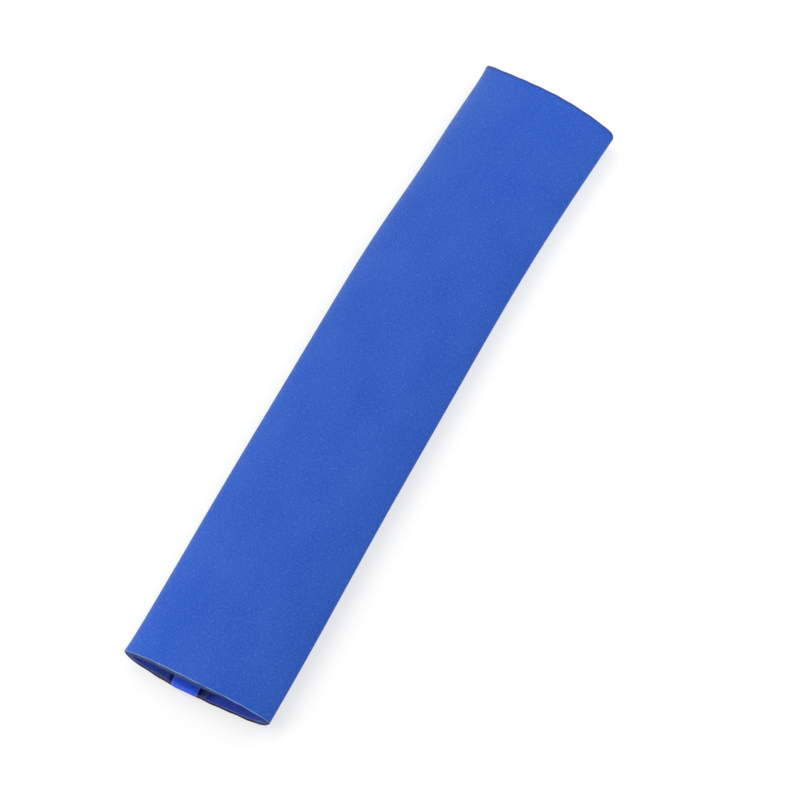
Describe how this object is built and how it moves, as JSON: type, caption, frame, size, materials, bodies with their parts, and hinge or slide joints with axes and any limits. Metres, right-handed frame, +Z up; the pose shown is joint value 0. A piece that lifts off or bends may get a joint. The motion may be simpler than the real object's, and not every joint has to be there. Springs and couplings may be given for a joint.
{
  "type": "fork protector",
  "caption": "Neoprene sleeve for a bicycle fork leg: a tube that lies flat, open at both ends, closed by a lengthwise seam with a woven tape sewn over it on the inside.",
  "frame": {"origin": "on the ground under the middle of the sleeve, at the bottom centre of its box", "axes": "+X across the sleeve, +Y along it, +Z up; the side with the seam lies on the ground"},
  "size_m": [0.069, 0.3134, 0.0175],
  "materials": {
    "neoprene": "matt knit jersey on grey foam",
    "tape": "satin woven tape",
    "thread": "twisted polyester thread"
  },
  "bodies": {
    "root": {"neoprene_sleeve": "neoprene", "seam_tape": "tape", "tape_stitches_left": "thread", "tape_stitches_right": "thread"}
  },
  "joints": []
}
